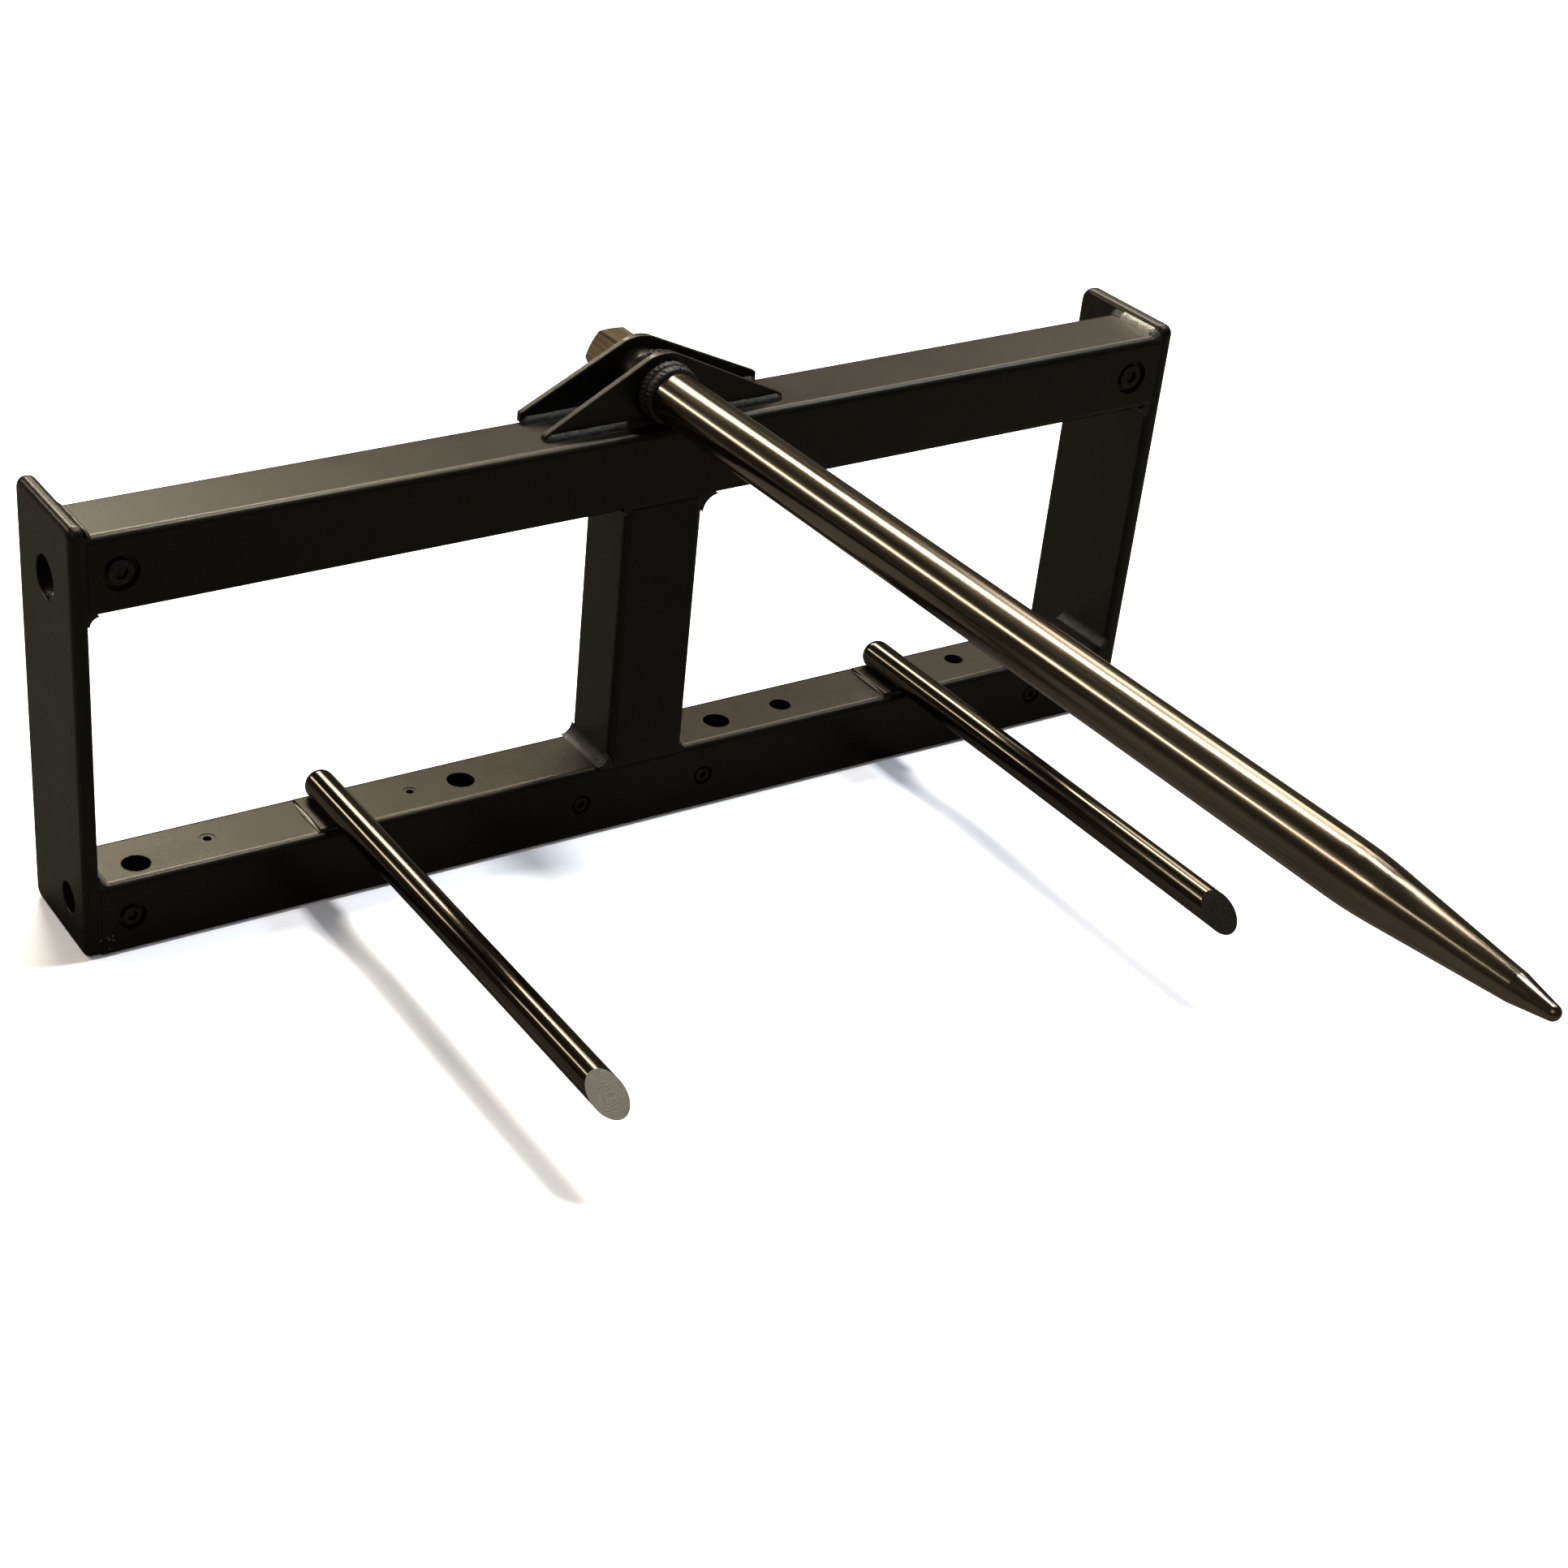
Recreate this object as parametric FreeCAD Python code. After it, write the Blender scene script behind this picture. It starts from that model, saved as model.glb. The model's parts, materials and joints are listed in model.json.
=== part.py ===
import FreeCAD, Part
import math
import os

# Bale spear: a welded carrier frame of two box rails, a post and two end plates,
# with one long turned spear on top and two bevelled stabiliser spikes below.
# Millimetres. +Z up, +X to the right of someone who faces the spear tips, +Y to the rear.
# The origin is the centre of the post's back face, where the frame meets its carrier.

V = FreeCAD.Vector
X_AXIS = V(1, 0, 0)
Y_AXIS = V(0, 1, 0)
Z_AXIS = V(0, 0, 1)

# ---- driving dimensions -------------------------------------------------------------

# Rails and post: square hollow section
rail_length = 1140.0
rail_size = 75.0
rail_wall = 8.0
rail_outer_radius = 8.0
rail_inner_radius = 4.0
frame_height = 420.0
post_width = 84.0

# End plates
plate_thickness = 16.0
plate_depth = 128.5
plate_rise = 9.5
plate_front_top_radius = 10.0
plate_back_top_radius = 14.0
plate_front_bottom_radius = 12.0
plate_back_bottom_radius = 12.0
plate_edge_round = 6.5
upper_bore_diameter = 40.0
upper_bore_from_front = 62.5
upper_bore_below_top = 70.0
lower_bore_diameter = 30.0
lower_bore_from_front = 40.5
lower_bore_above_foot = 46.5
bore_chamfer = 1.0

# Spear carrier on the top rail: two gussets, a sleeve and its welds
gusset_thickness = 8.0
gusset_left_reach = 122.0
gusset_right_reach = 133.0
front_gusset_end_height = 4.5
rear_gusset_end_height = 9.0
gusset_foot_radius = 2.5
gusset_apex_radius = 35.0
gusset_edge_round = 1.5
front_gusset_setback = 21.5
spear_height = 30.0
sleeve_diameter = 48.0
sleeve_setback = 1.0
collar_weld_toe = 1.0
collar_weld_height = 3.5
collar_weld_step = 1.0

# Main spear
spear_diameter = 47.5
spear_reach = 1068.5
shank_diameter = 36.0
shank_clearance = 0.25
shoulder_chamfer = 1.5
taper_length = 197.0
taper_half_angle = 5.0
taper_blend_radius = 500.0
point_length = 36.0
tip_radius = 6.0
thread_diameter = 30.0
thread_chamfer = 2.0
thread_past_nut = 3.0
thread_relief = 4.0

# Nut and washer behind the rear gusset
washer_diameter = 56.0
washer_thickness = 5.0
washer_clearance = 0.5
washer_edge_round = 1.0
nut_across_flats = 46.0
nut_length = 40.0
nut_chamfer_angle = 30.0

# Stabiliser spikes and the cradles under them
spike_spacing = 638.0
spike_shift = -5.0
spike_diameter = 30.5
spike_length = 547.5
spike_setback = 4.0
spike_end_round = 12.0
left_bevel_angle = 40.5
left_bevel_roll = 25.0
right_bevel_angle = 44.0
right_bevel_roll = 15.0
cradle_width = 52.0
cradle_height = 4.0
cradle_floor = 0.5
cradle_front_setback = 4.0
cradle_back_setback = 10.0
cradle_edge_round = 1.5

# Fillet welds
window_weld_radius = 9.5
rail_weld_leg = 5.0
rail_weld_toe = 0.5
seam_depth = 1.0
gusset_weld_leg = 6.0
sleeve_weld_leg = 9.0
cradle_weld_leg = 3.5
post_weld_radius = 5.0
post_top_right_weld_radius = 16.0
post_bottom_left_weld_radius = 12.0

# Sunk socket head screws in the front walls
counterbore_depth = 5.0
screw_head_height = 4.2
screw_head_round = 0.8
socket_depth = 3.0
screw_past_wall = 8.0
top_screw_from_end = 30.0
bottom_left_screw_from_end = 30.0
bottom_right_screw_from_end = 92.0
post_screw_from_post = 28.0

# Set screws in the bottom rail's top wall
set_screw_past_wall = 4.0
set_screw_sink = 0.6
set_screw_chamfer = 1.0

# ---- places that follow from them ---------------------------------------------------

rail_half = rail_length / 2
front_y = -rail_size
rail_mid_y = -rail_size / 2
top_z = frame_height / 2
bottom_z = -frame_height / 2
top_rail_foot_z = top_z - rail_size
bottom_rail_top_z = bottom_z + rail_size
plate_top_z = top_z + plate_rise

post_half = post_width / 2

spear_z = top_z + spear_height
sleeve_front_y = front_y + sleeve_setback
front_gusset_y = front_y + front_gusset_setback
rear_gusset_y = -gusset_thickness

spike_radius = spike_diameter / 2
left_spike_x = spike_shift - spike_spacing / 2
spike_z = bottom_rail_top_z + cradle_floor + spike_radius
cradle_front_y = front_y + cradle_front_setback
cradle_back_y = -cradle_back_setback

# Counterbore, head, thread and hexagon socket diameters
large_screw = (34.0, 24.0, 16.0, 12.0)
medium_screw = (28.0, 18.0, 12.0, 9.0)
small_screw = (21.0, 15.0, 10.0, 7.5)

screw_places = {
    "top_left_screw": (-rail_half + top_screw_from_end, top_z - rail_size / 2, large_screw),
    "top_right_screw": (rail_half - top_screw_from_end, top_z - rail_size / 2, large_screw),
    "bottom_left_screw": (
        -rail_half + bottom_left_screw_from_end, bottom_z + rail_size / 2, medium_screw),
    "bottom_right_screw": (
        rail_half - bottom_right_screw_from_end, bottom_z + rail_size / 2, small_screw),
    "post_left_screw": (
        -post_half - post_screw_from_post, bottom_z + rail_size / 2, small_screw),
    "post_right_screw": (
        post_half + post_screw_from_post, bottom_z + rail_size / 2, small_screw),
}

# Plain holes in the bottom rail's top wall: x, distance behind the front face, diameter
rail_holes = [
    (-rail_half + 45.0, 26.5, 28.0),
    (-post_half - 144.0, 36.0, 28.0),
    (post_half + 60.5, 33.0, 27.5),
    (post_half + 138.0, 34.5, 22.5),
    (rail_half - 168.0, 42.0, 20.0),
]

# Set screws in the same wall: x, distance behind the front face, thread, hexagon socket
set_screw_places = {
    "outer_set_screw": (-rail_half + 121.0, 39.5, 16.5, 8.0),
    "inner_set_screw": (left_spike_x + 84.0, 37.5, 14.5, 7.0),
}


# ---- helpers ------------------------------------------------------------------------

def block(x0, x1, y0, y1, z0, z1):
    return Part.makeBox(x1 - x0, y1 - y0, z1 - z0, V(x0, y0, z0))


def edges_along(shape, axis):
    """Straight edges of a shape that run along an axis."""
    found = []
    for edge in shape.Edges:
        if isinstance(edge.Curve, Part.Line) and abs(edge.tangentAt(edge.FirstParameter).dot(axis)) > 0.999:
            found.append(edge)
    return found


def edge_through(shape, axis, point):
    """The edge along an axis that passes through a point."""
    probe = Part.Vertex(point)
    return min(edges_along(shape, axis), key=lambda edge: edge.distToShape(probe)[0])


def rim_edges(shape, axis, station):
    """Edges that lie in the plane at one station along an axis."""
    found = []
    for edge in shape.Edges:
        low = min(vertex.Point.dot(axis) for vertex in edge.Vertexes)
        high = max(vertex.Point.dot(axis) for vertex in edge.Vertexes)
        if abs(low - station) < 0.001 and abs(high - station) < 0.001:
            found.append(edge)
    return found


def prism(points, travel):
    """A polygon pushed along a vector."""
    return Part.Face(Part.makePolygon(points + points[:1])).extrude(travel)


def hexagon(across_flats, centre, axis, length):
    """A hexagonal bar from a centre point along Y or Z."""
    corner_radius = across_flats / math.sqrt(3)
    side = X_AXIS
    other = axis.cross(side)
    corners = []
    for step in range(6):
        angle = math.radians(60 * step)
        corners.append(centre + side * (corner_radius * math.cos(angle))
                       + other * (corner_radius * math.sin(angle)))
    return prism(corners, axis * length)


def turned(edges, height):
    """Revolve a closed half-section, drawn in the plane through the Y axis at a height."""
    face = Part.Face(Part.Wire(edges))
    return face.revolve(V(0, 0, height), Y_AXIS, 360)


def line(start, end):
    return Part.LineSegment(start, end).toShape()


def arc(start, middle, end):
    return Part.Arc(start, middle, end).toShape()


def outline(points):
    """Straight edges round a list of points."""
    return [line(start, end) for start, end in zip(points, points[1:] + points[:1])]


# ---- rails, post and plates ---------------------------------------------------------

def bar(x0, x1, y0, y1, z0, z1, axis, inset, radius):
    """Bar along an axis, drawn in by an inset all round, with rounded long edges."""
    room = (V(1, 1, 1) - axis) * inset
    shape = block(x0 + room.x, x1 - room.x, y0 + room.y, y1 - room.y, z0 + room.z, z1 - room.z)
    return shape.makeFillet(radius, edges_along(shape, axis))


def rail_bar(foot_z, inset, radius):
    return bar(-rail_half, rail_half, front_y, 0, foot_z, foot_z + rail_size, X_AXIS, inset, radius)


def post_bar(inset, radius):
    return bar(-post_half, post_half, front_y, 0, bottom_rail_top_z, top_rail_foot_z,
               Z_AXIS, inset, radius)


def screw_seat(x, z, size):
    """Counterbore in a front wall with the tapped hole behind it."""
    counterbore, head, thread, socket = size
    recess = Part.makeCylinder(counterbore / 2, counterbore_depth, V(x, front_y, z), Y_AXIS)
    tapping = Part.makeCylinder(thread / 2, rail_wall, V(x, front_y, z), Y_AXIS)
    return recess.fuse(tapping)


def wall_hole(x, setback, diameter):
    """Hole down through the bottom rail's top wall."""
    top = V(x, front_y + setback, bottom_rail_top_z)
    return Part.makeCylinder(diameter / 2, rail_wall, top, -Z_AXIS)


def rail(foot_z):
    shape = rail_bar(foot_z, 0, rail_outer_radius).cut(rail_bar(foot_z, rail_wall, rail_inner_radius))
    for x, z, size in screw_places.values():
        if foot_z < z < foot_z + rail_size:
            shape = shape.cut(screw_seat(x, z, size))
    return shape


def top_rail():
    return rail(top_rail_foot_z)


def bottom_rail():
    shape = rail(bottom_z)
    for x, setback, diameter in rail_holes:
        shape = shape.cut(wall_hole(x, setback, diameter))
    for x, setback, diameter, socket in set_screw_places.values():
        shape = shape.cut(wall_hole(x, setback, diameter))
    return shape


def centre_post():
    return post_bar(0, rail_outer_radius).cut(post_bar(rail_wall, rail_inner_radius))


def plate_bores(x0):
    """The two bores of an end plate as cutters, each with its rim chamfers."""
    upper = (front_y + upper_bore_from_front, plate_top_z - upper_bore_below_top, upper_bore_diameter / 2)
    lower = (front_y + lower_bore_from_front, bottom_z + lower_bore_above_foot, lower_bore_diameter / 2)
    cutters = []
    for y, z, radius in (upper, lower):
        wide = radius + bore_chamfer
        near = Part.makeCone(wide, radius, bore_chamfer, V(x0, y, z), X_AXIS)
        far_start = V(x0 + plate_thickness - bore_chamfer, y, z)
        far = Part.makeCone(radius, wide, bore_chamfer, far_start, X_AXIS)
        cutters.append(Part.makeCylinder(radius, plate_thickness, V(x0, y, z), X_AXIS))
        cutters += [near, far]
    return cutters


def plate_blank(x0, thickness):
    """End plate outline: a different radius at each corner."""
    back_y = front_y + plate_depth
    blank = block(x0, x0 + thickness, front_y, back_y, bottom_z, plate_top_z)
    corners = [
        (front_y, plate_top_z, plate_front_top_radius),
        (back_y, plate_top_z, plate_back_top_radius),
        (front_y, bottom_z, plate_front_bottom_radius),
        (back_y, bottom_z, plate_back_bottom_radius),
    ]
    for y, z, radius in corners:
        blank = blank.makeFillet(radius, [edge_through(blank, X_AXIS, V(x0, y, z))])
    return blank


def plate_start(side):
    return rail_half if side > 0 else -rail_half - plate_thickness


def solid_plate(side):
    """End plate with its rounded rims, before it is bored."""
    x0 = plate_start(side)
    plate = plate_blank(x0, plate_thickness)
    rims = rim_edges(plate, X_AXIS, x0) + rim_edges(plate, X_AXIS, x0 + plate_thickness)
    return plate.makeFillet(plate_edge_round, rims)


def end_plate(side):
    plate = solid_plate(side)
    for cutter in plate_bores(plate_start(side)):
        plate = plate.cut(cutter)
    return plate


# ---- gussets, sleeve and spear ------------------------------------------------------

def slope_touch(reach, end_top):
    """Where a slope that rises from a gusset's end meets the arc over the sleeve."""
    rise = spear_z - end_top
    slant = math.hypot(reach, rise)
    lean = math.atan2(rise, reach) + math.asin(gusset_apex_radius / slant)
    return gusset_apex_radius * math.sin(lean), spear_z + gusset_apex_radius * math.cos(lean)


def gusset(y0, end_height):
    """Triangular plate whose slopes run tangent to the arc over the sleeve."""
    end_top = top_z + end_height
    left_x, left_z = slope_touch(gusset_left_reach, end_top)
    right_x, right_z = slope_touch(gusset_right_reach, end_top)
    left_foot = V(-gusset_left_reach, y0, top_z)
    right_foot = V(gusset_right_reach, y0, top_z)
    left_end = V(-gusset_left_reach, y0, end_top)
    right_end = V(gusset_right_reach, y0, end_top)
    left_touch = V(-left_x, y0, left_z)
    right_touch = V(right_x, y0, right_z)
    crown = V(0, y0, spear_z + gusset_apex_radius)
    edges = [
        line(left_foot, left_end),
        line(left_end, left_touch),
        arc(left_touch, crown, right_touch),
        line(right_touch, right_end),
        line(right_end, right_foot),
        line(right_foot, left_foot),
    ]
    plate = Part.Face(Part.Wire(edges)).extrude(Y_AXIS * gusset_thickness)
    ends = [edge_through(plate, Y_AXIS, left_end), edge_through(plate, Y_AXIS, right_end)]
    plate = plate.makeFillet(gusset_foot_radius, ends)
    upper_rims = []
    for edge in rim_edges(plate, Y_AXIS, y0) + rim_edges(plate, Y_AXIS, y0 + gusset_thickness):
        if edge.BoundBox.ZMax > end_top + gusset_edge_round:
            upper_rims.append(edge)
    plate = plate.makeFillet(gusset_edge_round, upper_rims)
    bore = Part.makeCylinder(sleeve_diameter / 2, gusset_thickness, V(0, y0, spear_z), Y_AXIS)
    return plate.cut(bore)


def spear_sleeve():
    """Tube through both gussets; the spear's shoulder bears on its front end."""
    start = V(0, sleeve_front_y, spear_z)
    outer = Part.makeCylinder(sleeve_diameter / 2, -sleeve_front_y, start, Y_AXIS)
    bore = Part.makeCylinder(shank_diameter / 2 + shank_clearance, -sleeve_front_y, start, Y_AXIS)
    return outer.cut(bore)


def main_spear():
    """Turned bar: threaded tail, shank, shoulder, parallel body, taper, point and round tip."""
    body = spear_diameter / 2
    shank = shank_diameter / 2
    thread = thread_diameter / 2
    tail_y = washer_thickness + nut_length + thread_past_nut
    tip_y = sleeve_front_y - spear_reach
    lean = math.radians(taper_half_angle)
    blend_run = taper_blend_radius * math.sin(lean)
    blend_drop = taper_blend_radius * (1 - math.cos(lean))
    blend_y = tip_y + taper_length
    cone_y = blend_y - blend_run
    cone_radius = body - blend_drop
    point_y = tip_y + point_length
    point_radius = cone_radius - (cone_y - point_y) * math.tan(lean)

    # The point's cone leaves the taper and runs tangent into the ball of the tip
    ball_y = tip_y + tip_radius
    slant = math.hypot(point_y - ball_y, point_radius)
    steep = math.asin(tip_radius / slant)
    point_lean = math.atan2(point_radius, point_y - ball_y) - steep
    touch_y = ball_y - tip_radius * math.sin(point_lean)
    touch_radius = tip_radius * math.cos(point_lean)
    half_turn = (math.pi / 2 - point_lean) / 2 + point_lean
    middle_y = ball_y - tip_radius * math.sin(half_turn)
    middle_radius = tip_radius * math.cos(half_turn)
    half_lean = lean / 2
    blend_middle_y = blend_y - taper_blend_radius * math.sin(half_lean)
    blend_middle_radius = body - taper_blend_radius * (1 - math.cos(half_lean))

    def at(y, radius):
        return V(0, y, spear_z + radius)

    tail = [
        at(tail_y, 0),
        at(tail_y, thread - thread_chamfer),
        at(tail_y - thread_chamfer, thread),
        at(-thread_relief, thread),
        at(-thread_relief, shank),
        at(sleeve_front_y, shank),
        at(sleeve_front_y, body - shoulder_chamfer),
        at(sleeve_front_y - shoulder_chamfer, body),
        at(blend_y, body),
    ]
    edges = [line(start, end) for start, end in zip(tail, tail[1:])]
    edges.append(arc(at(blend_y, body), at(blend_middle_y, blend_middle_radius), at(cone_y, cone_radius)))
    edges.append(line(at(cone_y, cone_radius), at(point_y, point_radius)))
    edges.append(line(at(point_y, point_radius), at(touch_y, touch_radius)))
    edges.append(arc(at(touch_y, touch_radius), at(middle_y, middle_radius), at(tip_y, 0)))
    edges.append(line(at(tip_y, 0), at(tail_y, 0)))
    return turned(edges, spear_z)


def spear_washer():
    bore = thread_diameter / 2 + washer_clearance
    disc = Part.makeCylinder(washer_diameter / 2, washer_thickness, V(0, 0, spear_z), Y_AXIS)
    rim = rim_edges(disc, Y_AXIS, washer_thickness)
    disc = disc.makeFillet(washer_edge_round, rim)
    hole = Part.makeCylinder(bore, washer_thickness, V(0, 0, spear_z), Y_AXIS)
    return disc.cut(hole)


def spear_nut():
    """Long hexagon nut, turned to a chamfer at both ends."""
    start = V(0, washer_thickness, spear_z)
    bar = hexagon(nut_across_flats, start, Y_AXIS, nut_length)
    flat = nut_across_flats / 2
    corner = nut_across_flats / math.sqrt(3)
    back_off = (corner - flat) * math.tan(math.radians(nut_chamfer_angle))
    nut_end = washer_thickness + nut_length
    points = [
        V(0, washer_thickness, spear_z),
        V(0, washer_thickness, spear_z + flat),
        V(0, washer_thickness + back_off, spear_z + corner),
        V(0, nut_end - back_off, spear_z + corner),
        V(0, nut_end, spear_z + flat),
        V(0, nut_end, spear_z),
    ]
    thread = Part.makeCylinder(thread_diameter / 2, nut_length, start, Y_AXIS)
    return bar.common(turned(outline(points), spear_z)).cut(thread)


# ---- stabiliser spikes --------------------------------------------------------------

def spike(side, bevel_angle, roll):
    """Round bar with a rounded back end and a bevel that looks forward, up and to the left."""
    x = spike_shift + side * spike_spacing / 2
    front = -spike_setback - spike_length
    reach = spike_diameter
    bar = Part.makeCylinder(spike_radius, spike_length + reach, V(x, front - reach, spike_z), Y_AXIS)
    bar = bar.makeFillet(spike_end_round, rim_edges(bar, Y_AXIS, -spike_setback))
    bevel = math.radians(bevel_angle)
    turn = math.radians(roll)
    facing = V(-math.cos(bevel) * math.sin(turn), -math.sin(bevel), math.cos(bevel) * math.cos(turn))
    far = 4 * spike_diameter
    centre = V(x, front, spike_z)
    cutter = Part.makePlane(far, far, V(-far / 2, -far / 2, 0), Z_AXIS).extrude(Z_AXIS * far)
    cutter.Placement = FreeCAD.Placement(centre, FreeCAD.Rotation(Z_AXIS, facing))
    return bar.cut(cutter)


def cradle(side):
    """Flat bar under a spike, with a round groove that the spike lies in."""
    x = spike_shift + side * spike_spacing / 2
    half = cradle_width / 2
    pad = block(x - half, x + half, cradle_front_y, cradle_back_y,
                bottom_rail_top_z, bottom_rail_top_z + cradle_height)
    upper = rim_edges(pad, Z_AXIS, bottom_rail_top_z + cradle_height)
    pad = pad.makeFillet(cradle_edge_round, upper)
    groove = Part.makeCylinder(spike_radius, rail_size, V(x, front_y, spike_z), Y_AXIS)
    return pad.cut(groove)


# ---- screws -------------------------------------------------------------------------

def socket_screw(x, z, size):
    """Low socket head cap screw, seated on the floor of its counterbore."""
    counterbore, head, thread, socket = size
    seat_y = front_y + counterbore_depth
    head_top = seat_y - screw_head_height
    body = Part.makeCylinder(head / 2, screw_head_height, V(x, head_top, z), Y_AXIS)
    body = body.makeFillet(screw_head_round, rim_edges(body, Y_AXIS, head_top))
    shank_length = rail_wall - counterbore_depth + screw_past_wall
    body = body.fuse(Part.makeCylinder(thread / 2, shank_length, V(x, seat_y, z), Y_AXIS))
    return body.cut(hexagon(socket, V(x, head_top, z), Y_AXIS, socket_depth))


def set_screw(x, setback, thread, socket):
    """Headless screw just under the face of the bottom rail's top wall."""
    top = V(x, front_y + setback, bottom_rail_top_z - set_screw_sink)
    length = rail_wall - set_screw_sink + set_screw_past_wall
    body = Part.makeCylinder(thread / 2, length, top, -Z_AXIS)
    body = body.makeChamfer(set_screw_chamfer, rim_edges(body, Z_AXIS, top.z - length))
    return body.cut(hexagon(socket, top, -Z_AXIS, socket_depth))


# ---- welds --------------------------------------------------------------------------

def corner_fillet(x, z, toward_x, toward_z, radius, root):
    """Hollow-faced fillet over the frame's depth, in the corner of a window.

    It reaches back by a root into the grooves that the rounded edges leave at the corner.
    """
    def at(along, up):
        return V(x + toward_x * along, front_y + seam_depth, z + toward_z * up)

    middle = radius * (1 - 1 / math.sqrt(2))
    edges = [
        arc(at(radius, 0), at(middle, middle), at(0, radius)),
        line(at(0, radius), at(-root, 0)),
        line(at(-root, 0), at(-root, -root)),
        line(at(-root, -root), at(0, -root)),
        line(at(0, -root), at(radius, 0)),
    ]
    return Part.Face(Part.Wire(edges)).extrude(Y_AXIS * (rail_size - 2 * seam_depth))


def rounded_ring(x, foot_z, growth):
    """Outline of a rail's section, grown all round."""
    grown = rail_bar(foot_z, -growth, rail_outer_radius + growth)
    section = grown.slice(X_AXIS, 0)[0]
    section.translate(V(x, 0, 0))
    return section


def rail_end_weld(side, foot_z):
    """Bead round a rail at its end plate, flush in front, with a hollow fillet in the window."""
    root_x = side * rail_half
    toe_x = root_x - side * rail_weld_leg
    far_x = root_x + side * plate_edge_round
    rings = [rounded_ring(root_x, foot_z, rail_weld_leg), rounded_ring(toe_x, foot_z, rail_weld_toe)]
    bead = Part.makeLoft(rings, True, True)
    low_x, high_x = sorted((root_x, far_x))
    seam = block(low_x, high_x, front_y, front_y + plate_edge_round, foot_z, foot_z + rail_size)
    upper = foot_z > 0
    corner_z = foot_z if upper else foot_z + rail_size
    window = corner_fillet(root_x, corner_z, -side, -1 if upper else 1,
                           window_weld_radius, rail_outer_radius)
    x0 = min(toe_x, far_x) - rail_weld_leg
    room = plate_blank(x0, abs(far_x - toe_x) + 2 * rail_weld_leg)
    room = room.cut(block(-rail_length, rail_length, front_y, front_y + seam_depth, bottom_z, plate_top_z))
    weld = bead.fuse(seam).common(room).fuse(window)
    return weld.cut(rail_bar(foot_z, 0, rail_outer_radius)).cut(solid_plate(side))


def post_weld(side, upper, radius):
    """Fillet in a window corner of the post, with the flush seams of its half of the post end."""
    joint_z = top_rail_foot_z if upper else bottom_rail_top_z
    toward_z = -1 if upper else 1
    weld = corner_fillet(side * post_half, joint_z, side, toward_z, radius, rail_outer_radius)
    low_x, high_x = sorted((0, side * post_half))
    low_z, high_z = sorted((joint_z, joint_z - toward_z * rail_outer_radius))
    seam_width = rail_outer_radius - seam_depth
    for y in (front_y + seam_depth, -rail_outer_radius):
        weld = weld.fuse(block(low_x, high_x, y, y + seam_width, low_z, high_z))
    foot_z = top_rail_foot_z if upper else bottom_z
    return weld.cut(rail_bar(foot_z, 0, rail_outer_radius)).cut(post_bar(0, rail_outer_radius))


def foot_fillet(x0, x1, y, z, toward_y, leg):
    """Fillet along X in the corner between a level face and an upright one."""
    points = [V(x0, y, z), V(x0, y + toward_y * leg, z), V(x0, y, z + leg)]
    return prism(points, V(x1 - x0, 0, 0))


def gusset_weld(face_y):
    """Bead along the front foot of a gusset."""
    return foot_fillet(-gusset_left_reach, gusset_right_reach, face_y, top_z, -1, gusset_weld_leg)


def collar_weld():
    """Two round bead passes over the sleeve, in front of the front gusset."""
    outer = sleeve_diameter / 2
    middle_y = (front_gusset_y + sleeve_front_y) / 2
    half_pass = (front_gusset_y - middle_y) / 2
    toe = outer + collar_weld_toe

    def at(y, radius):
        return V(0, y, spear_z + radius)

    edges = [
        arc(at(front_gusset_y, toe), at(front_gusset_y - half_pass, toe + collar_weld_height),
            at(middle_y, toe)),
        arc(at(middle_y, toe), at(middle_y - half_pass, toe + collar_weld_height - collar_weld_step),
            at(sleeve_front_y, outer)),
        line(at(sleeve_front_y, outer), at(front_gusset_y, outer)),
        line(at(front_gusset_y, outer), at(front_gusset_y, toe)),
    ]
    return turned(edges, spear_z)


def sleeve_weld():
    """Ring fillet between the sleeve and the back of the front gusset."""
    outer = sleeve_diameter / 2
    face_y = front_gusset_y + gusset_thickness
    points = [
        V(0, face_y, spear_z + outer),
        V(0, face_y, spear_z + outer + sleeve_weld_leg),
        V(0, face_y + sleeve_weld_leg, spear_z + outer),
    ]
    return turned(outline(points), spear_z).cut(rail_bar(top_rail_foot_z, 0, rail_outer_radius))


def cradle_weld(side):
    """Bead along the left foot of a cradle."""
    x = spike_shift + (side * spike_spacing - cradle_width) / 2
    z = bottom_rail_top_z
    points = [
        V(x, cradle_front_y, z),
        V(x - cradle_weld_leg, cradle_front_y, z),
        V(x, cradle_front_y, z + cradle_weld_leg),
    ]
    return prism(points, V(0, cradle_back_y - cradle_front_y, 0))


# ---- parts --------------------------------------------------------------------------

def frame_parts():
    return {
        "top_rail": top_rail(),
        "bottom_rail": bottom_rail(),
        "centre_post": centre_post(),
        "left_end_plate": end_plate(-1),
        "right_end_plate": end_plate(1),
        "top_left_rail_weld": rail_end_weld(-1, top_rail_foot_z),
        "top_right_rail_weld": rail_end_weld(1, top_rail_foot_z),
        "bottom_left_rail_weld": rail_end_weld(-1, bottom_z),
        "bottom_right_rail_weld": rail_end_weld(1, bottom_z),
        "post_top_left_weld": post_weld(-1, True, post_weld_radius),
        "post_top_right_weld": post_weld(1, True, post_top_right_weld_radius),
        "post_bottom_left_weld": post_weld(-1, False, post_bottom_left_weld_radius),
        "post_bottom_right_weld": post_weld(1, False, post_weld_radius),
    }


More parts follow.
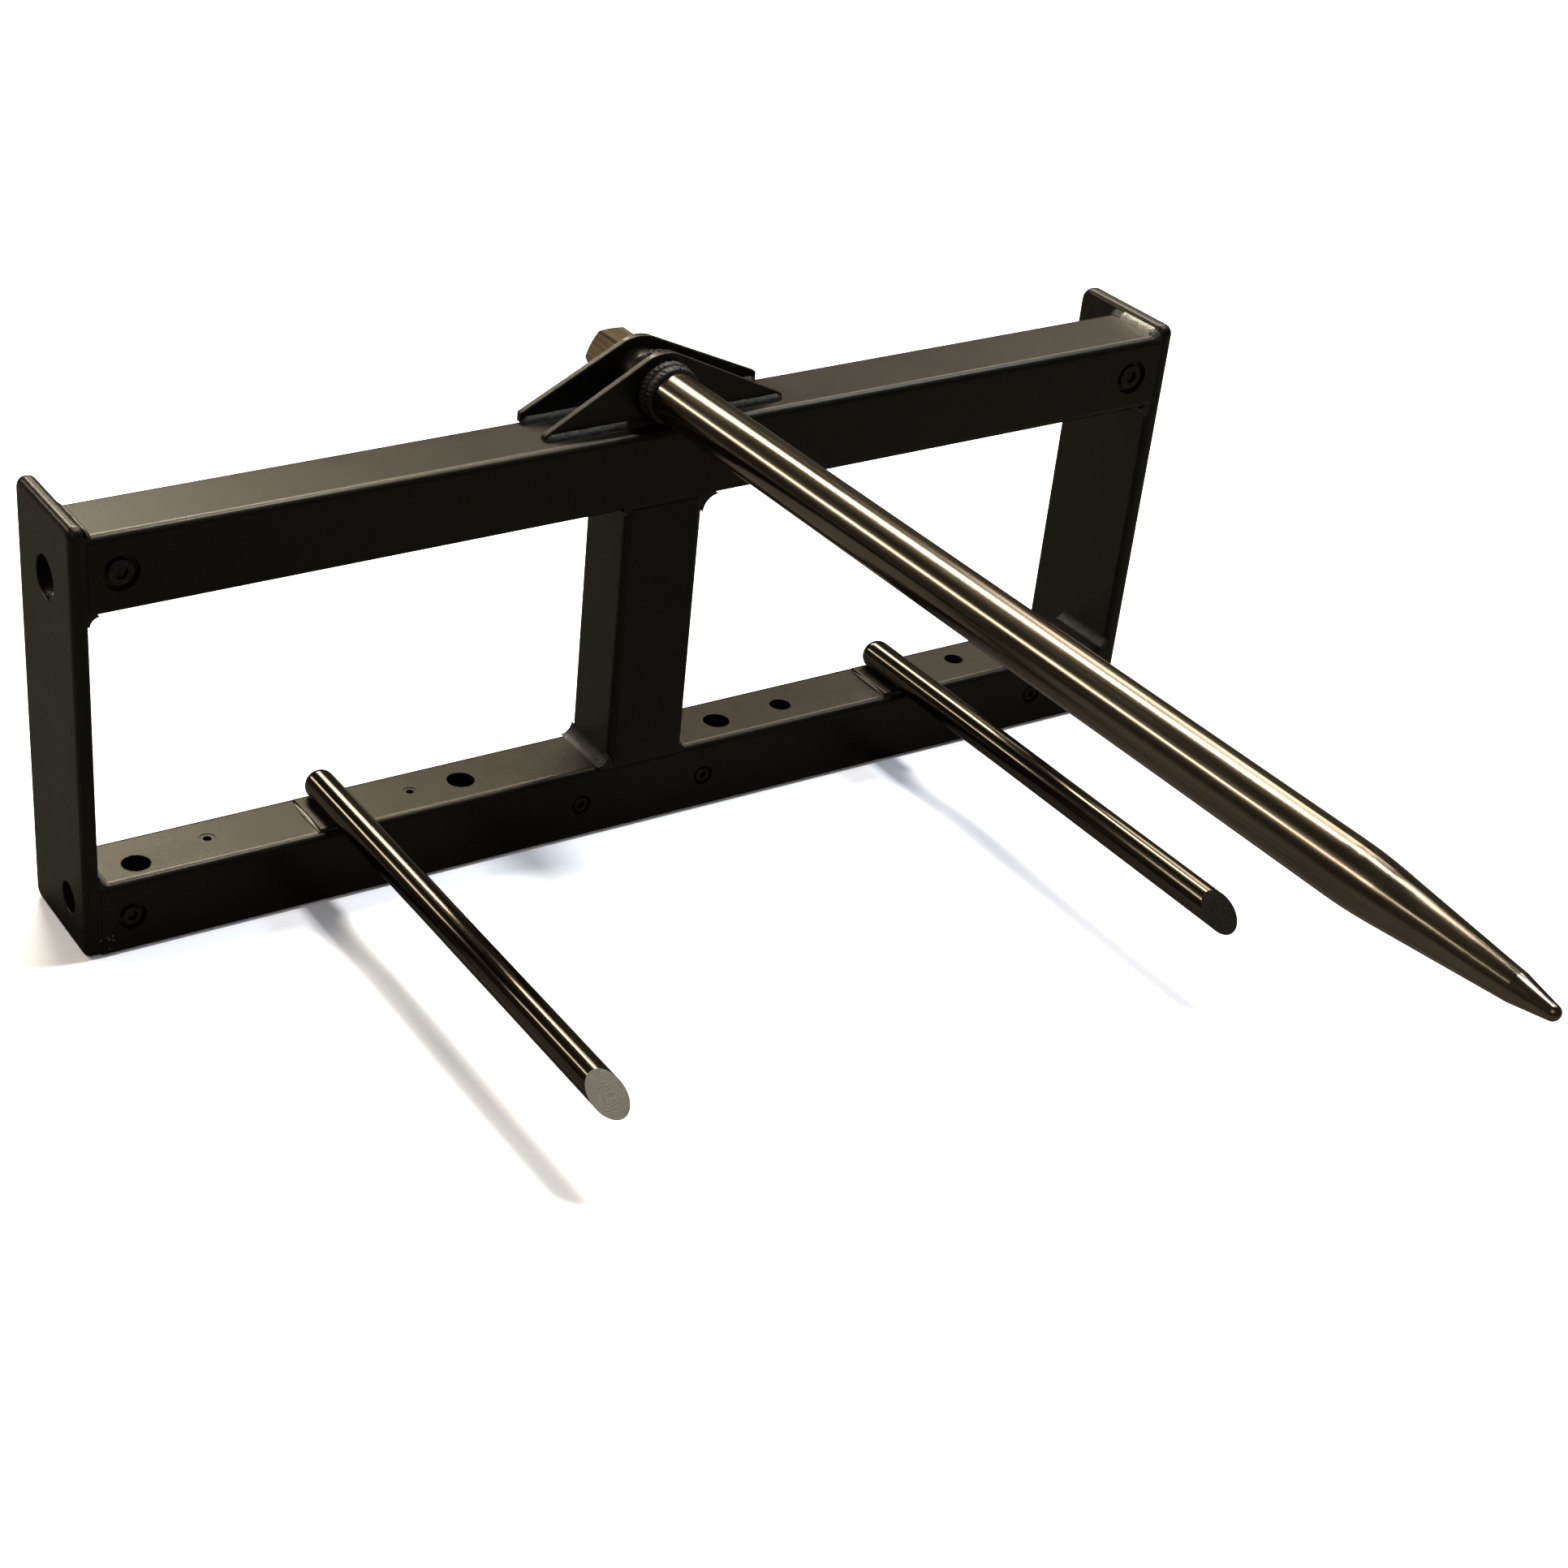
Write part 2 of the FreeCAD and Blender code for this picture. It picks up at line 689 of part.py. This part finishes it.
def spear_parts():
    return {
        "front_gusset": gusset(front_gusset_y, front_gusset_end_height),
        "rear_gusset": gusset(rear_gusset_y, rear_gusset_end_height),
        "spear_sleeve": spear_sleeve(),
        "main_spear": main_spear(),
        "spear_washer": spear_washer(),
        "spear_nut": spear_nut(),
        "collar_weld": collar_weld(),
        "sleeve_weld": sleeve_weld(),
        "front_gusset_weld": gusset_weld(front_gusset_y).cut(collar_weld()),
        "rear_gusset_weld": gusset_weld(rear_gusset_y),
    }


def spike_parts():
    return {
        "left_spike": spike(-1, left_bevel_angle, left_bevel_roll),
        "right_spike": spike(1, right_bevel_angle, right_bevel_roll),
        "left_cradle": cradle(-1),
        "right_cradle": cradle(1),
        "left_cradle_weld": cradle_weld(-1),
        "right_cradle_weld": cradle_weld(1),
    }


def screw_parts():
    parts = {}
    for name, (x, z, size) in screw_places.items():
        parts[name] = socket_screw(x, z, size)
    for name, (x, setback, thread, socket) in set_screw_places.items():
        parts[name] = set_screw(x, setback, thread, socket)
    return parts


def main():
    os.makedirs("parts", exist_ok=True)
    for group in (frame_parts(), spear_parts(), spike_parts(), screw_parts()):
        for name, shape in group.items():
            shape.exportStep(os.path.join("parts", name + ".step"))


main()
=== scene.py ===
import json
import math

import bpy
from mathutils import Matrix, Vector, noise


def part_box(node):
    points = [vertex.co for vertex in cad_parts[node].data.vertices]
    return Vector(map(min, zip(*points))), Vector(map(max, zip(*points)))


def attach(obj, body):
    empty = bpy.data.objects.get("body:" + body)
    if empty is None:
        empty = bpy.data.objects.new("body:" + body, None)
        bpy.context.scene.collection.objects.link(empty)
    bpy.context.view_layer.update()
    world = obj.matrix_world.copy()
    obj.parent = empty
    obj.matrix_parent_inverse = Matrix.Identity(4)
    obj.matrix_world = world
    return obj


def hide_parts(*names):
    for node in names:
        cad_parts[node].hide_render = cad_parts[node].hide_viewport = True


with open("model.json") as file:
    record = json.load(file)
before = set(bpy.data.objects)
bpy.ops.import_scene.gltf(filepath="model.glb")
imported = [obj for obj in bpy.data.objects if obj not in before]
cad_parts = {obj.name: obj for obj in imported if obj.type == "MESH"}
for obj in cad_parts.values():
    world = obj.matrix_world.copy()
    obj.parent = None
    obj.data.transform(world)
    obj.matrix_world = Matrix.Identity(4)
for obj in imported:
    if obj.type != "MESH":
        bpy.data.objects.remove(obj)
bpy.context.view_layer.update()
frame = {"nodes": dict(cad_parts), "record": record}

# Metres, in the part's own frame: +Z up, spears along -Y, origin at the middle of the post's back.

CAMERA_PLACE = Vector((-1.3295, -2.0893, 1.2489))
CAMERA_HEADING = math.radians(29.53)
CAMERA_DIP = math.radians(33.32)
CAMERA_ROLL = math.radians(2.62)
CAMERA_LENS = 65.06
CAMERA_SHIFT = (0.2000, 0.0862)

# Beads: how far one sinks into what carries it, the radius at which the two round the sleeve
# start, the spacing of a straight bead's rows and the smallest size it tapers to
MERGE = 0.0002
COLLAR_TOE = 0.0246
BEAD_ROW = 0.0009
BEAD_END = 0.00005
PLATE_BEAD_LEG = 0.0062
PLATE_BEAD_FRONT_GAP = 0.007
PLATE_BEAD_BACK_GAP = 0.011

# Thickness of the rolled edge round a hole
LIP_TUBE = 0.00055

# How steeply a face must look forward to count as a spike's cut end
CUT_FACE_LIMIT = -0.35

# Colours of the lamps
WARM = (1.0, 0.90, 0.74)
PALE = (1.0, 0.98, 0.94)
NEUTRAL = (1.0, 0.98, 0.95)
COOL = (0.72, 0.86, 1.0)

# The floor as the camera sees it, and as it lights the part
FLOOR_REACH = 12.0
FLOOR_SEEN = (3.2, 3.3, 3.6)
FLOOR_LIT = (0.10, 0.09, 0.07)


# ---- node helpers -------------------------------------------------------------------

class Tree:
    """A node tree that adds and links nodes in one call."""

    def __init__(self, tree):
        self.tree = tree
        tree.nodes.clear()

    def add(self, kind, inputs=None, **settings):
        node = self.tree.nodes.new(kind)
        for name, value in settings.items():
            setattr(node, name, value)
        for key, value in (inputs or {}).items():
            self.feed(node.inputs[key], value)
        return node

    def feed(self, socket, value):
        if isinstance(value, bpy.types.NodeSocket):
            self.tree.links.new(value, socket)
        elif isinstance(value, (tuple, list)) and socket.type == "RGBA":
            socket.default_value = (*value, 1.0)[:4]
        else:
            socket.default_value = value

    def math(self, operation, first, second=0.0, third=0.0):
        node = self.add("ShaderNodeMath", operation=operation)
        for socket, value in zip(node.inputs, (first, second, third)):
            self.feed(socket, value)
        return node.outputs[0]

    def mix(self, factor, first, second):
        node = self.add("ShaderNodeMix", data_type="RGBA")
        self.feed(node.inputs["Factor"], factor)
        self.feed(node.inputs["A"], first)
        self.feed(node.inputs["B"], second)
        return node.outputs["Result"]

    def place(self):
        return self.add("ShaderNodeTexCoord").outputs["Object"]

    def stretch(self, scale):
        node = self.add("ShaderNodeMapping")
        self.feed(node.inputs["Vector"], self.place())
        node.inputs["Scale"].default_value = scale
        return node.outputs["Vector"]

    def noise(self, scale, detail=3.0, roughness=0.5, vector=None):
        node = self.add("ShaderNodeTexNoise")
        self.feed(node.inputs["Vector"], vector or self.place())
        node.inputs["Scale"].default_value = scale
        node.inputs["Detail"].default_value = detail
        node.inputs["Roughness"].default_value = roughness
        return node.outputs["Fac"]

    def span(self, value, low, high, to_low=0.0, to_high=1.0):
        node = self.add("ShaderNodeMapRange")
        self.feed(node.inputs["Value"], value)
        node.inputs["From Min"].default_value = low
        node.inputs["From Max"].default_value = high
        node.inputs["To Min"].default_value = to_low
        node.inputs["To Max"].default_value = to_high
        return node.outputs["Result"]

    def bump(self, height, distance, strength):
        node = self.add("ShaderNodeBump")
        self.feed(node.inputs["Height"], height)
        node.inputs["Distance"].default_value = distance
        node.inputs["Strength"].default_value = strength
        return node.outputs["Normal"]

    def surface(self, shader):
        output = self.add("ShaderNodeOutputMaterial")
        self.feed(output.inputs["Surface"], shader)


def material(name):
    found = bpy.data.materials.new(name)
    found.use_nodes = True
    return found, Tree(found.node_tree)


# ---- materials ----------------------------------------------------------------------

def paint_material():
    """Satin black paint with a fine grain."""
    made, tree = material("satin_black_paint")
    grain = tree.noise(1100.0, 2.0, 0.7)
    cloud = tree.noise(14.0, 4.0)
    dark, light = (0.003, 0.0036, 0.0032), (0.010, 0.0105, 0.0085)
    colour = tree.mix(tree.span(grain, 0.35, 0.65), dark, light)
    fine = tree.span(grain, 0.3, 0.7, 0.27, 0.43)
    broad = tree.span(cloud, 0.3, 0.7, -0.03, 0.03)
    rough = tree.math("ADD", fine, broad)
    shader = tree.add("ShaderNodeBsdfPrincipled", {
        "Base Color": colour, "Roughness": rough, "Specular IOR Level": 0.45,
        "Specular Tint": (1.0, 0.91, 0.68), "Coat Weight": 0.12, "Coat Roughness": 0.10,
        "Normal": tree.bump(grain, 0.0004, 0.35)})
    tree.surface(shader.outputs[0])
    return made


def lengthwise(tree, scale):
    """Fine lines that run along Y."""
    return tree.noise(scale, 3.0, vector=tree.stretch((1.0, 0.012, 1.0)))


def steel_material(name, light, dark, rough_low, rough_high):
    """Drawn bar: fine lines along the bar and soft mottling."""
    made, tree = material(name)
    lines = lengthwise(tree, 260.0)
    cloud = tree.noise(9.0, 4.0)
    mixed = tree.math("MULTIPLY_ADD", lines, 0.6, tree.math("MULTIPLY", cloud, 0.4))
    colour = tree.mix(tree.span(mixed, 0.35, 0.65), dark, light)
    rough = tree.span(lines, 0.3, 0.7, rough_low, rough_high)
    shader = tree.add("ShaderNodeBsdfPrincipled", {
        "Base Color": colour, "Metallic": 1.0, "Roughness": rough,
        "Normal": tree.bump(lines, 0.0004, 0.12)})
    tree.surface(shader.outputs[0])
    return made


def spike_material(name, node, face_light, face_dark, face_rough):
    """Dark glossy bar whose cut front face keeps the arcs of the saw; the face colours given per spike
    carry painted light.
    """
    made, tree = material(name)
    low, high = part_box(node)
    lines = lengthwise(tree, 300.0)
    bar = tree.mix(tree.span(lines, 0.35, 0.65), (0.10, 0.085, 0.065), (0.20, 0.17, 0.13))
    geometry = tree.add("ShaderNodeNewGeometry")
    parts = tree.add("ShaderNodeSeparateXYZ", {"Vector": geometry.outputs["True Normal"]})
    cut = tree.math("LESS_THAN", parts.outputs["Y"], CUT_FACE_LIMIT)
    pivot = Vector(((low.x + high.x) / 2 + 0.010, low.y + 0.035, low.z - 0.006))
    position = geometry.outputs["Position"]
    offset = tree.add("ShaderNodeVectorMath", {0: position, 1: pivot}, operation="SUBTRACT")
    length = tree.add("ShaderNodeVectorMath", {0: offset.outputs[0]}, operation="LENGTH")
    waver = tree.math("MULTIPLY_ADD", tree.noise(60.0, 2.0), 0.004, length.outputs["Value"])
    arcs = tree.math("SINE", tree.math("MULTIPLY", waver, 9000.0))
    speckle = tree.noise(900.0, 4.0, 0.7)
    marks = tree.math("MULTIPLY_ADD", arcs, 0.10, speckle)
    face = tree.mix(tree.span(marks, 0.2, 0.8), face_dark, face_light)
    colour = tree.mix(cut, bar, face)
    bar_rough = tree.span(lines, 0.3, 0.7, 0.11, 0.20)
    rough = tree.math("MULTIPLY_ADD", cut, face_rough - 0.15, bar_rough)
    height = tree.math("MULTIPLY", cut, marks)
    shader = tree.add("ShaderNodeBsdfPrincipled", {
        "Base Color": colour, "Metallic": 1.0, "Roughness": rough,
        "Normal": tree.bump(height, 0.0006, 0.5)})
    tree.surface(shader.outputs[0])
    return made


def weld_material(name, dark, light, metallic, rough):
    """Weld bead: rough, with small pits and a wandering colour."""
    made, tree = material(name)
    grain = tree.noise(700.0, 4.0, 0.7)
    cloud = tree.noise(90.0, 3.0)
    blend = tree.math("MULTIPLY_ADD", grain, 0.6, tree.math("MULTIPLY", cloud, 0.4))
    shader = tree.add("ShaderNodeBsdfPrincipled", {
        "Base Color": tree.mix(tree.span(blend, 0.35, 0.65), dark, light), "Metallic": metallic,
        "Roughness": tree.span(cloud, 0.3, 0.7, rough - 0.06, rough + 0.08),
        "Normal": tree.bump(grain, 0.0007, 0.7)})
    tree.surface(shader.outputs[0])
    return made


def build_materials():
    return {
        "paint": paint_material(),
        "painted_weld": weld_material(
            "painted_weld", (0.006, 0.007, 0.006), (0.035, 0.034, 0.028), 0.0, 0.30),
        "bare_weld": weld_material(
            "bare_weld", (0.20, 0.19, 0.16), (0.62, 0.60, 0.54), 0.85, 0.34),
        "spear": steel_material("turned_steel", (0.36, 0.31, 0.25), (0.25, 0.21, 0.16), 0.13, 0.22),
        # The left spike's cut face colours are lifted to near white: a painted highlight on the sawn steel.
        "left_spike": spike_material(
            "left_spike_steel_painted_highlight", "left_spike", (1.0, 0.95, 0.84), (0.60, 0.56, 0.46), 0.38),
        # The right spike's cut face colours are held dark: painted shade on the same sawn steel as the left
        # spike.
        "right_spike": spike_material(
            "right_spike_steel_painted_shade", "right_spike", (0.16, 0.155, 0.13), (0.07, 0.065, 0.05), 0.34),
        "nut": steel_material("nut_steel", (0.22, 0.17, 0.10), (0.10, 0.075, 0.045), 0.26, 0.40),
        "screw": steel_material("screw_steel", (0.09, 0.09, 0.08), (0.03, 0.03, 0.028), 0.22, 0.34),
    }


def dress_nodes(materials):
    by_slot = {"frame_paint": "paint", "weld_bead": "painted_weld", "spear_steel": "spear",
               "nut_steel": "nut", "screw_steel": "screw"}
    for part in frame["record"]["subparts"]:
        name = part["node"]
        chosen = name if name in materials else by_slot[part["material_slot"]]
        if name.endswith("set_screw"):
            chosen = "paint"
        node = frame["nodes"][name]
        node.data.materials.clear()
        node.data.materials.append(materials[chosen])


# ---- mesh helpers -------------------------------------------------------------------

def make_piece(name, points, faces, look, nodes=()):
    """Smooth piece that rides on the frame and stands for the named nodes."""
    mesh = bpy.data.meshes.new(name)
    mesh.from_pydata(points, [], faces)
    mesh.polygons.foreach_set("use_smooth", [True] * len(mesh.polygons))
    mesh.materials.append(look)
    mesh.update()
    piece = bpy.data.objects.new(name, mesh)
    bpy.context.scene.collection.objects.link(piece)
    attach(piece, "root")
    if nodes:
        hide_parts(*nodes)


def skin(rows, columns, start=0, wrap=False):
    """Quads over a grid of points, stored row by row."""
    faces = []
    reach = columns if wrap else columns - 1
    for row in range(rows - 1):
        for column in range(reach):
            after = (column + 1) % columns
            near = start + row * columns
            far = near + columns
            faces.append((near + column, near + after, far + after, far + column))
    return faces


def lump(place, scale, seed=0.0):
    """Smooth noise between -1 and 1."""
    return noise.noise(Vector(place) * scale + Vector((seed, seed, seed)))


# ---- welds --------------------------------------------------------------------------

def spear_axis_z():
    low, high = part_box("spear_sleeve")
    return (low.z + high.z) / 2


def ring_bead(name, node, look, radius_at, floor_z):
    """Bead turned about the spear's axis, from a radius at each place along and round it."""
    low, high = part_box(node)
    sleeve_low, sleeve_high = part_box("spear_sleeve")
    inner = (sleeve_high.x - sleeve_low.x) / 2 - MERGE
    axis_z = spear_axis_z()
    rows, columns = 40, 180
    points = []
    for row in range(rows):
        along = row / (rows - 1)
        y = high.y + (low.y - high.y) * along
        for column in range(columns):
            angle = math.tau * column / columns
            edge = row in (0, rows - 1)
            radius = inner if edge else radius_at(along, angle)
            z = max(axis_z + radius * math.sin(angle), floor_z)
            points.append((radius * math.cos(angle), y, z))
    make_piece(name, points, skin(rows, columns, wrap=True), look, (node,))


def collar_radius(along, angle):
    """Two passes of stacked ripples."""
    second = along >= 0.5
    local = (along - 0.5 if second else along) * 2
    crown = 0.0036 if second else 0.0046
    ripple = abs(math.sin(angle * 19 + local * 2.5 + (0.8 if second else 0.0)))
    place = (math.cos(angle), along * 0.6, math.sin(angle))
    rough = 0.0007 * lump(place, 9.0) + 0.00045 * lump(place, 31.0)
    swell = math.sqrt(max(0.0, 1 - (2 * local - 1) ** 2))
    return COLLAR_TOE + crown * swell * (0.78 + 0.22 * ripple) + rough


def back_bead_radius(along, angle):
    """Single lumpy pass that falls away from the gusset."""
    place = (math.cos(angle), along, math.sin(angle))
    fall = 1 - along ** 1.6
    rough = 0.0012 * lump(place, 6.0, 4.0) + 0.0005 * lump(place, 26.0, 4.0)
    return COLLAR_TOE + 0.0082 * fall + rough * (0.4 + fall)


def fillet_bead(name, start, end, first, second, leg, look, nodes=(), seed=0.0,
                crown=0.16, pointed=False):
    """Rippled bead in the corner between two faces, whose directions are first and second."""
    start, end = Vector(start), Vector(end)
    first, second = Vector(first), Vector(second)
    length = (end - start).length
    rows = max(12, int(length / BEAD_ROW))
    columns = 14
    points = []
    for row in range(rows):
        along = row / (rows - 1)
        run = along * length
        tip = min(run, length - run)
        taper = math.sin(math.pi * along) ** 0.6 if pointed else math.sqrt(min(1.0, tip / leg))
        wave = 0.5 + 0.5 * math.cos(math.tau * run / (leg * 0.55))
        sway = 1 + 0.10 * lump((run * 60, seed, 0.0), 1.0)
        size = max(leg * taper * sway * (0.93 + 0.07 * wave), BEAD_END)
        base = start + (end - start) * along
        for column in range(columns):
            turn = column / (columns - 1)
            swell = crown * math.sin(math.pi * turn) * (0.7 + 0.3 * wave)
            rough = 0.035 * lump((run * 420, turn * 6, seed), 1.0) * math.sin(math.pi * turn)
            reach = first * (1 - turn) + second * turn
            bulge = (first + second).normalized() * (swell + rough)
            point = base + (reach + bulge) * size - (first + second) * MERGE
            points.append(point)
    make_piece(name, points, skin(rows, columns), look, nodes)


def build_ring_beads(materials):
    rail_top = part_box("top_rail")[1].z
    ring_bead("collar_bead", "collar_weld", materials["painted_weld"], collar_radius, rail_top)
    ring_bead("back_bead", "sleeve_weld", materials["painted_weld"], back_bead_radius, rail_top)


def build_gusset_beads(materials):
    for side in ("front", "rear"):
        low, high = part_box(side + "_gusset_weld")
        start = (low.x, high.y, low.z)
        end = (high.x, high.y, low.z)
        fillet_bead(side + "_gusset_bead", start, end, (0, -1, 0), (0, 0, 1), high.z - low.z,
                    materials["painted_weld"], (side + "_gusset_weld",), seed=low.y * 50)


def build_cradle_beads(materials):
    for side, look in (("left", "bare_weld"), ("right", "painted_weld")):
        low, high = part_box(side + "_cradle_weld")
        start = (high.x, low.y, low.z)
        end = (high.x, high.y, low.z)
        fillet_bead(side + "_cradle_bead", start, end, (-1, 0, 0), (0, 0, 1), high.z - low.z,
                    materials[look], (side + "_cradle_weld",), seed=3.0, crown=0.3, pointed=True)


def build_plate_beads(materials):
    """Light bead passes on the top rail, along the feet of the end plates."""
    low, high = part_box("top_rail")
    front = low.y + PLATE_BEAD_FRONT_GAP
    back = high.y - PLATE_BEAD_BACK_GAP
    for side, x, inward in (("left", low.x, 1), ("right", high.x, -1)):
        fillet_bead(side + "_plate_bead", (x, front, high.z), (x, back, high.z),
                    (inward, 0, 0), (0, 0, 1), PLATE_BEAD_LEG, materials["bare_weld"], seed=x * 9)


def lip(centre, radius):
    """Points of a flattened ring that lies level round a hole, and how many rows they make."""
    points = []
    columns, rows = 64, 8
    for row in range(rows + 1):
        turn = math.tau * row / rows
        for column in range(columns):
            angle = math.tau * column / columns
            spoke = Vector((math.cos(angle), math.sin(angle), 0.0))
            rise = Vector((0, 0, 1)) * LIP_TUBE * 0.5 * math.sin(turn)
            points.append(centre + spoke * (radius + LIP_TUBE * math.cos(turn)) + rise)
    return points, rows + 1, columns


def build_lips(materials):
    """Rolled edge round each plain hole in the bottom rail's top wall."""
    points, faces = [], []
    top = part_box("bottom_rail")[1].z
    for mount in frame["record"]["mounts"]:
        if mount["name"].startswith("rail_hole"):
            centre = Vector((mount["pos_m"][0], mount["pos_m"][1], top))
            ring, rows, columns = lip(centre, mount["dims"]["r_mm"] / 1000)
            faces.extend(skin(rows, columns, len(points), wrap=True))
            points.extend(ring)
    make_piece("hole_lips", points, faces, materials["paint"])


def bead_of_spatter(place, size, rows, columns):
    """Points of a small ball, flattened from front to back."""
    points = []
    for row in range(rows):
        tilt = math.pi * row / (rows - 1)
        ring = math.sin(tilt) * size
        for column in range(columns):
            angle = math.tau * column / columns
            away = Vector((ring * math.cos(angle), 0.6 * ring * math.sin(angle), size * math.cos(tilt)))
            points.append(place + away)
    return points


def build_specks(materials):
    """Small beads of spatter beside the welds."""
    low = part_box("bottom_rail")[0]
    top_low, top_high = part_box("top_rail")
    left_foot = Vector((low.x + 0.006, low.y, low.z + 0.018))
    right_top = Vector((top_high.x - 0.006, top_low.y + 0.004, top_high.z - 0.001))
    clusters = [
        (left_foot, Vector((0.010, 0.0, 0.009)), 9, 1.0),
        (right_top, Vector((0.006, 0.004, 0.003)), 8, 2.0),
    ]
    points, faces = [], []
    rows, columns = 6, 10
    for centre, spread, count, seed in clusters:
        for index in range(count):
            shift = [1.6 * noise.noise(Vector((index * 3.7 + axis * 11.1, seed, 0.5))) for axis in range(3)]
            place = centre + Vector([part * reach for part, reach in zip(shift, spread)])
            size = 0.0007 + 0.0005 * abs(noise.noise(Vector((index * 5.3, seed, 2.5))))
            faces.extend(skin(rows, columns, len(points), wrap=True))
            points.extend(bead_of_spatter(place, size, rows, columns))
    make_piece("weld_specks", points, faces, materials["bare_weld"])


# ---- stage --------------------------------------------------------------------------

def build_camera():
    heading, dip = CAMERA_HEADING, CAMERA_DIP
    forward = Vector((math.sin(heading) * math.cos(dip), math.cos(heading) * math.cos(dip), -math.sin(dip)))
    level = forward.cross(Vector((0, 0, 1))).normalized()
    upright = level.cross(forward)
    right = level * math.cos(CAMERA_ROLL) + upright * math.sin(CAMERA_ROLL)
    up = upright * math.cos(CAMERA_ROLL) - level * math.sin(CAMERA_ROLL)
    data = bpy.data.cameras.new("camera")
    data.lens = CAMERA_LENS
    data.shift_x, data.shift_y = CAMERA_SHIFT
    data.clip_start = 0.05
    camera = bpy.data.objects.new("camera", data)
    bpy.context.scene.collection.objects.link(camera)
    turn = Matrix((right, up, -forward)).transposed().to_4x4()
    camera.matrix_world = Matrix.Translation(CAMERA_PLACE) @ turn
    bpy.context.scene.camera = camera


def area_light(name, place, aim, size, power, colour, along=Vector((0, 1, 0))):
    """Rectangular lamp whose long side runs near the along direction."""
    data = bpy.data.lights.new(name, "AREA")
    data.shape = "RECTANGLE"
    data.size, data.size_y = size
    data.energy = power
    data.color = colour
    lamp = bpy.data.objects.new(name, data)
    bpy.context.scene.collection.objects.link(lamp)
    back = (Vector(place) - Vector(aim)).normalized()
    side = along.cross(back).normalized()
    up = back.cross(side)
    lamp.matrix_world = Matrix.Translation(place) @ Matrix((side, up, back)).transposed().to_4x4()


def build_floor():
    reach = FLOOR_REACH
    low = cad_box_low_z()
    mesh = bpy.data.meshes.new("floor")
    corners = [(-reach, -reach, low), (reach, -reach, low), (reach, reach, low), (-reach, reach, low)]
    mesh.from_pydata(corners, [], [(0, 1, 2, 3)])
    floor = bpy.data.objects.new("floor", mesh)
    bpy.context.scene.collection.objects.link(floor)
    made, tree = material("floor_white")
    path = tree.add("ShaderNodeLightPath")
    seen = tree.math("MULTIPLY_ADD", path.outputs["Is Glossy Ray"], 0.02, path.outputs["Is Camera Ray"])
    colour = tree.mix(seen, FLOOR_LIT, FLOOR_SEEN)
    shader = tree.add("ShaderNodeBsdfDiffuse", {"Color": colour})
    tree.surface(shader.outputs[0])
    mesh.materials.append(made)


def cad_box_low_z():
    return min(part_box("bottom_rail")[0].z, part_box("left_end_plate")[0].z)


def build_world():
    world = bpy.data.worlds.new("studio")
    bpy.context.scene.world = world
    world.use_nodes = True
    tree = Tree(world.node_tree)
    path = tree.add("ShaderNodeLightPath")
    strength = tree.math("MULTIPLY_ADD", path.outputs["Is Camera Ray"], 0.95, 0.05)
    colour = tree.mix(path.outputs["Is Camera Ray"], (0.9, 0.75, 0.55), (1.0, 1.0, 0.99))
    shade = tree.add("ShaderNodeBackground", {"Color": colour, "Strength": strength})
    output = tree.add("ShaderNodeOutputWorld")
    tree.feed(output.inputs["Surface"], shade.outputs[0])


def build_lights():
    aim = Vector((0, -0.4, 0.1))
    area_light("top_strip", (1.40, 3.70, 4.50), aim, (0.8, 5.0), 250, WARM, along=Vector((-0.23, 1, 0)))
    area_light("left_strip", (-3.40, 2.90, 2.70), aim, (0.4, 4.0), 46, WARM)
    area_light("edge_light", (1.30, -0.30, 4.60), aim, (0.6, 0.6), 55, PALE)
    area_light("cool_edge_light", (3.40, -0.10, 4.60), aim, (0.7, 1.6), 45, COOL)
    area_light("right_soft", (4.20, 3.40, 4.20), aim, (2.0, 2.0), 60, WARM)
    area_light("front_fill", (-2.5, -3.0, 3.2), aim, (2.5, 2.5), 12, NEUTRAL)


build_camera()
build_floor()
build_world()
build_lights()
materials = build_materials()
dress_nodes(materials)
build_ring_beads(materials)
build_gusset_beads(materials)
build_cradle_beads(materials)
build_plate_beads(materials)
build_lips(materials)
build_specks(materials)
bpy.context.scene.view_settings.view_transform = "Standard"
